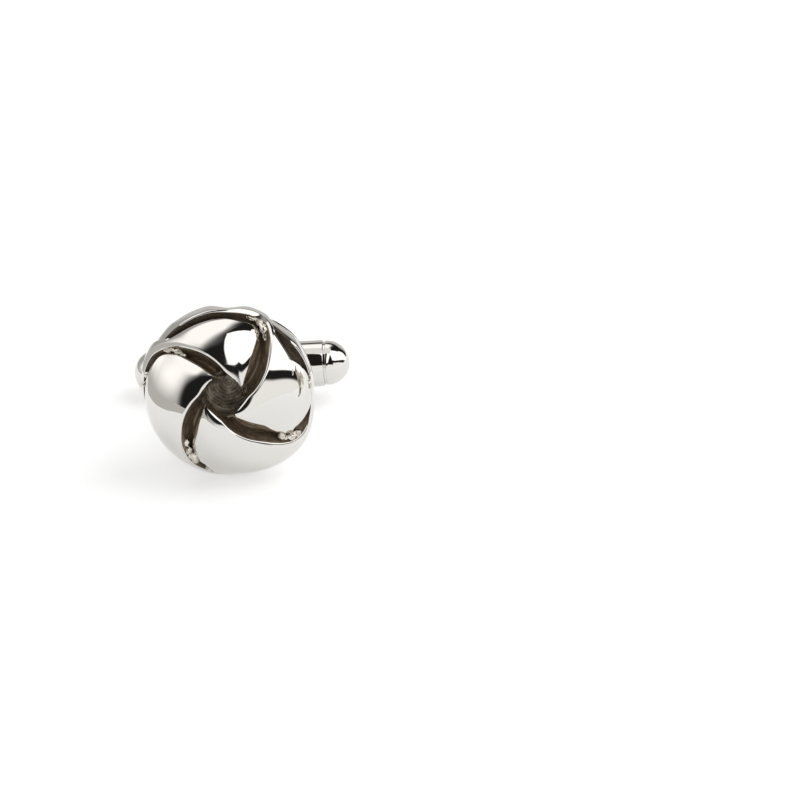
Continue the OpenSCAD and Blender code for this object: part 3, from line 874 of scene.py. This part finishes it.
class CUFFLINK_OT_solder(bpy.types.Operator):
    """Build the lumps and seams of solder in the grooves at the straps' corners"""

    bl_idname = "cufflink.solder"
    bl_label = "Solder"

    def place(self, knot, index, u, w, depth):
        """A point at share w across an unclosed groove, and the way along it and the way out."""
        row = knot.groove(index, u, pinched=False)
        near = knot.beside(index, u, row[BAND] * MM)
        far = row[EDGE_PSI], row[EDGE_THETA]
        psi, theta = (near[k] + (far[k] - near[k]) * w for k in (0, 1))
        ahead = knot.groove(index, u + 0.1)
        way = knot.point(ahead[RIM_PSI], ahead[RIM_THETA], 0) - knot.point(row[RIM_PSI], row[RIM_THETA], 0)
        out = knot.point(psi, theta, 0) - knot.point(psi, theta, 0.5 * MM)
        return knot.point(psi, theta, depth * MM), way.normalized(), out

    def add_lump(self, bm, knot, lump, seed):
        """Adds an uneven ball, drawn out along the groove."""
        index, u, w, depth, along, across, deep = lump
        middle, x, out = self.place(knot, index, u, w, depth)
        y = out.cross(x).normalized()
        turn = Matrix((x, y, x.cross(y))).transposed().to_4x4()
        size = Matrix.Diagonal((along * MM, across * MM, deep * MM, 1))
        made = bmesh.ops.create_icosphere(bm, subdivisions=3, radius=1)
        for vert in made["verts"]:
            where = vert.co * LUMP_WAVES + Vector((seed * LUMPS_APART, 0, 0))
            vert.co *= 1 + LUMP_UNEVEN * noise.noise(where)
        bmesh.ops.transform(bm, matrix=Matrix.Translation(middle) @ turn @ size, verts=made["verts"])

    def add_seam(self, bm, knot, index, stations):
        """Adds a bead as a row of balls along a smooth curve through its stations."""
        for i in range(len(stations) - 1):
            picked = [stations[max(0, min(len(stations) - 1, k))] for k in (i - 1, i, i + 1, i + 2)]
            for step in range(SEAM_STEPS):
                u, w, depth, r = (spline(*column, step / SEAM_STEPS) for column in zip(*picked))
                middle = Matrix.Translation(self.place(knot, index, u, w, depth)[0])
                bmesh.ops.create_icosphere(bm, subdivisions=2, radius=r * MM, matrix=middle)

    def execute(self, context):
        knot = Knot(context.scene.cufflink_sizes)
        bm = bmesh.new()
        for seed, lump in enumerate(SOLDER):
            self.add_lump(bm, knot, lump, seed)
        for index, stations in SEAMS:
            self.add_seam(bm, knot, index, stations)
        metal = solder_metal("silver_solder")
        new_piece("knot_solder", fused(bm, SOLDER_VOXEL), "head", "knot_plate", metal)
        return {"FINISHED"}


FOOT_T = 0.8 * MM
SEAT_GAP = 0.03 * MM
LEG_GAP = 0.05 * MM
LEG_REACH = 1.0 * MM
LEG_END_R = 1.6 * MM
FOOT_Z = BACK_PAD_Z - SEAT_GAP - FOOT_T
LEG_BEVEL = 0.08 * MM


def leg_bmesh(sizes, side):
    """One flat leg of the fork, with a rounded end past the pin and eased edges."""
    inner_y = sizes.toggle_r + LEG_GAP
    half = sizes.leg_w / 2
    centre_z = -PIVOT_DEPTH - LEG_REACH + LEG_END_R
    swing = math.degrees(math.asin(half / LEG_END_R))
    outline = [(half, FOOT_Z + FOOT_T / 2)] + arc(0, centre_z, LEG_END_R, -90 + swing, -90 - swing, 20)
    outline += [(-half, FOOT_Z + FOOT_T / 2)]
    bm = bmesh.new()
    face = bm.faces.new([bm.verts.new((x, inner_y, z)) for x, z in outline])
    out = bmesh.ops.extrude_face_region(bm, geom=[face])
    moved = [v for v in out["geom"] if isinstance(v, bmesh.types.BMVert)]
    bmesh.ops.translate(bm, verts=moved, vec=(0, sizes.leg_t, 0))
    bmesh.ops.recalc_face_normals(bm, faces=bm.faces)
    rims = [e for e in bm.edges if len(e.link_faces) == 2 and e.calc_face_angle() > math.radians(60)]
    bmesh.ops.bevel(bm, geom=rims, offset=LEG_BEVEL, segments=3, profile=0.5, affect="EDGES", material=-1)
    if side < 0:
        bmesh.ops.rotate(bm, verts=bm.verts, matrix=Matrix.Rotation(math.pi, 3, "Z"))
    return bm


class CUFFLINK_OT_post(bpy.types.Operator):
    """Build the forked post with its round foot"""

    bl_idname = "cufflink.post"
    bl_label = "Post"

    def execute(self, context):
        sizes = context.scene.cufflink_sizes
        finish = context.scene.cufflink_finish
        r = sizes.foot_r
        ease = 0.15 * MM
        tip_z = FOOT_Z + FOOT_T + SPIGOT_L - SPIGOT_GAP
        outline = [(0, FOOT_Z)] + arc(r - ease, FOOT_Z + ease, ease, -90, 0, 4)
        outline += arc(r - ease, FOOT_Z + FOOT_T - ease, ease, 0, 90, 4)
        outline += [(SPIGOT_R, FOOT_Z + FOOT_T), (SPIGOT_R, tip_z), (0, tip_z)]
        bm = spun(outline, ROUND_STEPS)
        for side in (1, -1):
            join(bm, leg_bmesh(sizes, side))
        metal = drawn_steel("satin_plated_steel", finish.post_colour, roughness=0.2)
        piece = new_piece("cuff_post", bm, "head", "post_plate", metal)
        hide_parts("post")
        return {"FINISHED"}


class CUFFLINK_OT_pin(bpy.types.Operator):
    """Build the pivot pin that the toggle swings on"""

    bl_idname = "cufflink.pin"
    bl_label = "Pivot pin"

    def execute(self, context):
        sizes = context.scene.cufflink_sizes
        finish = context.scene.cufflink_finish
        half = sizes.toggle_r + LEG_GAP + sizes.leg_t
        ease = 0.12 * MM
        crown = 0.02 * MM
        r = sizes.pin_r
        outline = [(0, half + crown), (r * 0.5, half + crown * 0.75)]
        outline += arc(r - ease, half - ease, ease, 90, 0, 4)
        outline += [(x, -h) for x, h in reversed(outline)]
        bm = spun(outline, 48)
        bmesh.ops.rotate(bm, verts=bm.verts, matrix=Matrix.Rotation(math.pi / 2, 3, "X"))
        bmesh.ops.translate(bm, verts=bm.verts, vec=(0, 0, -PIVOT_DEPTH))
        metal = drawn_steel("burnished_steel", finish.pin_colour, roughness=0.16)
        piece = new_piece("swivel_pin", bm, "head", "pin_steel", metal)
        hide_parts("pivot_pin")
        return {"FINISHED"}


BARREL_WALL = 0.6 * MM
CAP_SPIGOT_L = 1.6 * MM
RING_L = 0.18 * MM
RING_CUT = 0.16 * MM
DOME_EASE = 0.08 * MM
TOGGLE_STEPS = 160


class CUFFLINK_OT_toggle(bpy.types.Operator):
    """Build the toggle: its barrel and the two domed caps"""

    bl_idname = "cufflink.toggle"
    bl_label = "Toggle"

    def execute(self, context):
        sizes = context.scene.cufflink_sizes
        finish = context.scene.cufflink_finish
        plate = polished_plate("polished_toggle_plate", finish.plate_colour, finish.plate_roughness)
        r = sizes.toggle_r
        half = sizes.toggle_l / 2 - sizes.cap_l
        ease = 0.05 * MM
        inner_r = r - BARREL_WALL
        outline = [(inner_r, -half)] + arc(r - ease, -half + ease, ease, -90, 0, 4)
        outline += [(r, 0)] + arc(r - ease, half - ease, ease, 0, 90, 4) + [(inner_r, half)]
        barrel = spun(outline, TOGGLE_STEPS, "X", closed=True)
        bmesh.ops.translate(barrel, verts=barrel.verts, vec=(0, 0, -PIVOT_DEPTH))
        piece = new_piece("barrel", barrel, "toggle", "toggle_plate", plate)
        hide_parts("toggle_barrel")

        start = half + SEAT_GAP / 2
        dome_r = r - DOME_EASE
        dome_x = start + sizes.cap_l - SEAT_GAP / 2 - dome_r
        spigot_r = inner_r - SEAT_GAP
        outline = [(0, start - CAP_SPIGOT_L), (spigot_r, start - CAP_SPIGOT_L), (spigot_r, start),
                   (r - RING_CUT, start), (r - RING_CUT, start + RING_L)]
        outline += arc(dome_r - ease, start + RING_L + ease, ease, -90, 0, 3)
        outline += arc(0, dome_x, dome_r, 0, 90, 32)
        for name, side in (("right", 1), ("left", -1)):
            cap = spun(outline, TOGGLE_STEPS, "X")
            if side < 0:
                bmesh.ops.rotate(cap, verts=cap.verts, matrix=Matrix.Rotation(math.pi, 3, "Z"))
            bmesh.ops.translate(cap, verts=cap.verts, vec=(0, 0, -PIVOT_DEPTH))
            piece = new_piece(f"cap_{name}", cap, "toggle", "toggle_plate", plate)
            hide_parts(f"toggle_cap_{name}")
        return {"FINISHED"}


def look(azimuth, elevation):
    """Unit vector from the object: azimuth 0 is in front, 90 to the right, and elevation is upwards."""
    a, e = math.radians(azimuth), math.radians(elevation)
    return Vector((math.cos(e) * math.sin(a), -math.cos(e) * math.cos(a), math.sin(e)))


def camera_frame(aim, azimuth, elevation, distance):
    """Place and turn of an upright camera that looks at a point."""
    back = look(azimuth, elevation)
    a = math.radians(azimuth)
    right = Vector((math.cos(a), math.sin(a), 0))
    turn = Matrix((right, back.cross(right), back)).transposed().to_4x4()
    return Matrix.Translation(aim + back * distance) @ turn


PHOTO_PX = 800
FOCAL_PX = 4246
SENSOR_MM = 36
CAMERA_AIM = Vector((16.05, -5.43, 7.04)) * MM
CAMERA_AZIMUTH = 3.16
CAMERA_ELEVATION = 27.2
CAMERA_DISTANCE = 395 * MM
CLIP_START = 10 * MM
CLIP_END = 20
FLOOR_HALF = 0.9
# The table is lit from below as well, which softens the shadows
FLOOR_GLOW = 0.36
ROOM_LIGHT = 0.58
TENT_R = 1.6
LAMP_SIZE = 0.5
LAMP_WATTS = 1.5
LAMP_PLACE = look(115, 52) * 0.7

# What the metal mirrors, in the order in which it is laid on: each panel's name, its corners as azimuth
# and elevation, the softness of its edges in degrees, and its brightness, where plain white is 1
PANELS = (
    ("left_wall", ((-165, -14), (-165, 62), (-62, 70), (-48, 43), (-44, 20), (-42, -14)), 12, 0.46),
    ("left_box", ((-102, 8), (-106, 74), (-56, 74), (-58, 8)), 19, 1.45),
    ("back_wall", ((143, -14), (143, 26), (-150, 26), (-150, -14)), 6, 0.68),
    ("overhead", ((-46, 50), (-45, 75), (140, 84), (156, 66), (160, 46), (-165, 41), (-130, 42), (-85, 46)),
     7, 1.4),
    ("grey_strip", ((-23, -20), (-21, 3), (-13, 8), (-9, 5), (-5, -20)), 3, 0.55),
    ("low_card", ((-16, -30), (-13, 2), (5, 14), (19, 22), (65, 15), (84, 6), (96, -2), (95, -30)), 2, 1.12),
    ("window_left", ((-4, 20.5), (7, 80), (40, 86), (34, 36.5)), 1, 1.6),
    ("window", ((33, 36.5), (28, 84), (67, 88), (110, 57), (113, 20), (112, 0), (91, 12.5), (75, 20.5),
                (60, 25.5), (49, 29.3)), 1, 1.6),
    ("window_right", ((95, 12), (95, 46), (117, 42), (125, 18), (125, -6), (106, 2)), 1, 1.6),
)
DARK = 0.016


def bare_material(name):
    """A material with no nodes."""
    material = bpy.data.materials.new(name)
    material.use_nodes = True
    material.node_tree.nodes.clear()
    return material


def glow(material, hex_colour, **links):
    """Makes a bare material glow, at the brightness that is linked, or at 1."""
    light = add_node(material.node_tree, "Emission", {"Color": srgb(hex_colour)}, **links)
    add_node(material.node_tree, "OutputMaterial", Surface=light.outputs[0])
    return material


def inside(tree, way, corners, soft):
    """A mask of the directions that lie between a panel's corners, with soft edges."""
    ways = [look(*corner) for corner in corners]
    middle = sum(ways, Vector()).normalized()
    half = math.sin(math.radians(soft))
    mask = None
    for a, b in zip(ways, ways[1:] + ways[:1]):
        normal = a.cross(b).normalized()
        if normal.dot(middle) < 0:
            normal = -normal
        dot = add_node(tree, "VectorMath", {"operation": "DOT_PRODUCT", 1: normal}, i0=way)
        side = add_node(tree, "MapRange",
                        {"interpolation_type": "SMOOTHSTEP", "From Min": -half, "From Max": half},
                        Value=dot.outputs["Value"]).outputs["Result"]
        mask = side if mask is None else add_node(
            tree, "Math", {"operation": "MULTIPLY"}, i0=mask, i1=side).outputs[0]
    return mask


def tent_material():
    """The studio as the metal sees it: a tent of lit cloth, dark, with soft panels of light."""
    material = bare_material("studio_tent")
    tree = material.node_tree
    place = add_node(tree, "TexCoord").outputs["Object"]
    way = add_node(tree, "VectorMath", {"operation": "NORMALIZE"}, i0=place).outputs["Vector"]
    level = add_node(tree, "Value").outputs[0]
    level.default_value = DARK
    for _, corners, soft, brightness in PANELS:
        mask = inside(tree, way, corners, soft)
        less = add_node(tree, "Math", {"operation": "SUBTRACT", 0: brightness}, i1=level)
        level = add_node(tree, "Math", {"operation": "MULTIPLY_ADD"},
                         i0=less.outputs[0], i1=mask, i2=level).outputs[0]
    return glow(material, "FFFDFB", Strength=level)


# Cards that show only as a mirror image in the metal: name, material, colour, and corners in millimetres.
# The grey one lies to the left and sets a low, dim horizon there, and the others hang over the toggle
CARDS = (
    ("left_card", "mid_grey_card", "CBCAC6",
     ((-33, -400, 1), (-33, 400, 1), (-833, 400, 1), (-833, -400, 1))),
    ("barrel_flag", "black_velvet", "221F1D",
     ((4.5, 5, 4.9), (8.3, 5, 4.8), (8.2, 5, 7), (7.9, 5, 12), (6.5, 5, 14.5), (4.5, 5, 13))),
    ("cap_flag", "black_velvet_strip", "221F1D",
     ((8.5, 5, 4.95), (10.2, 5, 4.85), (10.25, 5, 6.9), (10.4, 5, 12), (9, 5, 6.8))),
    ("toggle_card", "white_card", "FFFDFB",
     ((4, 5.7, 11), (10, 5.7, 11), (10, 9.5, 11), (4, 9.5, 11))),
)


class CUFFLINK_OT_stage(bpy.types.Operator):
    """Set up the pale floor, the studio light and the camera"""

    bl_idname = "cufflink.stage"
    bl_label = "Studio"

    def execute(self, context):
        scene = context.scene
        camera = bpy.data.objects.new("camera", bpy.data.cameras.new("camera"))
        scene.collection.objects.link(camera)
        camera.data.sensor_width = SENSOR_MM
        camera.data.lens = FOCAL_PX / PHOTO_PX * SENSOR_MM
        camera.data.clip_start = CLIP_START
        camera.data.clip_end = CLIP_END
        camera.matrix_world = camera_frame(CAMERA_AIM, CAMERA_AZIMUTH, CAMERA_ELEVATION, CAMERA_DISTANCE)
        scene.camera = camera

        bm = bmesh.new()
        bmesh.ops.create_grid(bm, x_segments=1, y_segments=1, size=FLOOR_HALF)
        material, shader, _ = new_material("matt_acrylic_table", roughness=0.9)
        shader.inputs["Base Color"].default_value = srgb("F4F4F4")
        shader.inputs["Emission Color"].default_value = WHITE
        shader.inputs["Emission Strength"].default_value = FLOOR_GLOW
        self.add_stage(scene, "floor", bm, material, True)

        bm = bmesh.new()
        bmesh.ops.create_uvsphere(bm, u_segments=48, v_segments=24, radius=TENT_R)
        self.add_stage(scene, "tent", bm, tent_material(), False)
        for name, material_name, hex_colour, corners in CARDS:
            bm = bmesh.new()
            bm.faces.new([bm.verts.new(Vector(corner) * MM) for corner in corners])
            self.add_stage(scene, name, bm, glow(bare_material(material_name), hex_colour), False)

        world = bpy.data.worlds.new("studio")
        scene.world = world
        world.use_nodes = True
        background = world.node_tree.nodes["Background"]
        background.inputs["Color"].default_value = WHITE
        background.inputs["Strength"].default_value = ROOM_LIGHT

        light = bpy.data.lights.new("soft_box", "AREA")
        light.shape = "SQUARE"
        light.size = LAMP_SIZE
        light.energy = LAMP_WATTS
        lamp = bpy.data.objects.new("soft_box", light)
        scene.collection.objects.link(lamp)
        lamp.location = LAMP_PLACE
        lamp.rotation_euler = lamp.location.to_track_quat("Z", "Y").to_euler()
        lamp.visible_glossy = False

        scene.view_settings.view_transform = "Standard"
        return {"FINISHED"}

    def add_stage(self, scene, name, bm, material, seen):
        """Adds a piece of the studio. One that isn't seen shows only in the metal's mirror image."""
        mesh = bpy.data.meshes.new(name)
        bm.to_mesh(mesh)
        bm.free()
        mesh.materials.append(material)
        prop = bpy.data.objects.new(name, mesh)
        scene.collection.objects.link(prop)
        prop.visible_camera = prop.visible_diffuse = prop.visible_shadow = seen
        prop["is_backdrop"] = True


class CUFFLINK_PT_panel(bpy.types.Panel):
    """Lists the cufflink's pieces, sizes and finishes"""

    bl_idname = "CUFFLINK_PT_panel"
    bl_label = "Knot Cufflink"
    bl_space_type = "VIEW_3D"
    bl_region_type = "UI"
    bl_category = "Cufflink"

    def draw(self, context):
        for operator in OPERATORS:
            self.layout.operator(operator.bl_idname)
        for group in (context.scene.cufflink_sizes, context.scene.cufflink_finish):
            for name in group.bl_rna.properties.keys():
                if name not in ("rna_type", "name"):
                    self.layout.prop(group, name)


OPERATORS = (
    CUFFLINK_OT_straps,
    CUFFLINK_OT_grooves,
    CUFFLINK_OT_core,
    CUFFLINK_OT_well,
    CUFFLINK_OT_solder,
    CUFFLINK_OT_post,
    CUFFLINK_OT_pin,
    CUFFLINK_OT_toggle,
    CUFFLINK_OT_stage,
)
CLASSES = (CufflinkSizes, CufflinkFinish) + OPERATORS + (CUFFLINK_PT_panel,)


def register():
    for cls in CLASSES:
        bpy.utils.register_class(cls)
    bpy.types.Scene.cufflink_sizes = bpy.props.PointerProperty(type=CufflinkSizes)
    bpy.types.Scene.cufflink_finish = bpy.props.PointerProperty(type=CufflinkFinish)


def unregister():
    del bpy.types.Scene.cufflink_finish
    del bpy.types.Scene.cufflink_sizes
    for cls in reversed(CLASSES):
        bpy.utils.unregister_class(cls)


def main():
    register()
    bpy.ops.cufflink.straps()
    bpy.ops.cufflink.grooves()
    bpy.ops.cufflink.core()
    bpy.ops.cufflink.well()
    bpy.ops.cufflink.solder()
    bpy.ops.cufflink.post()
    bpy.ops.cufflink.pin()
    bpy.ops.cufflink.toggle()
    bpy.ops.cufflink.stage()
    boxes = {"cad": CAD_BOX, "visual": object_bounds()}
    boxes = {name: [list(corner) for corner in box] for name, box in boxes.items()}


if __name__ == "__main__":
    main()
